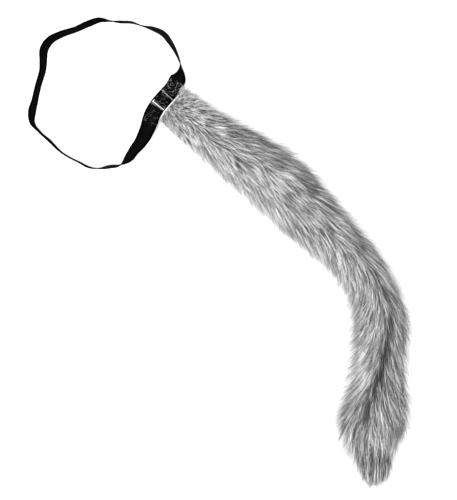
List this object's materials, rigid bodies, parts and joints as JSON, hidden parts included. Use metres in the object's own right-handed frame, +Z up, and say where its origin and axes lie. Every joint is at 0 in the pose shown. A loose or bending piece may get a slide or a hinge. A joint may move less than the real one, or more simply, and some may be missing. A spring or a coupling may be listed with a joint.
{
  "type": "costume animal tail",
  "caption": "Stuffed faux-fur animal tail with a bend and a tufted end, sewn by a turned hem to the lapped joint of a round elastic waistband, lying flat as put down.",
  "frame": {"origin": "middle of the footprint, on the tabletop that the tail lies on", "axes": "+Z up from the table, +Y towards the waistband's end of the tail, +X towards the side that the tail bends out to"},
  "size_m": [0.4598, 0.561, 0.0551],
  "materials": {
    "elastic": "woven black elastic, satin ribs",
    "backing": "matt white knitted backing",
    "fur": "long grey faux fur"
  },
  "bodies": {
    "root": {"elastic_band": "elastic", "root_hem": "backing", "fur_tail": "fur"}
  },
  "joints": []
}
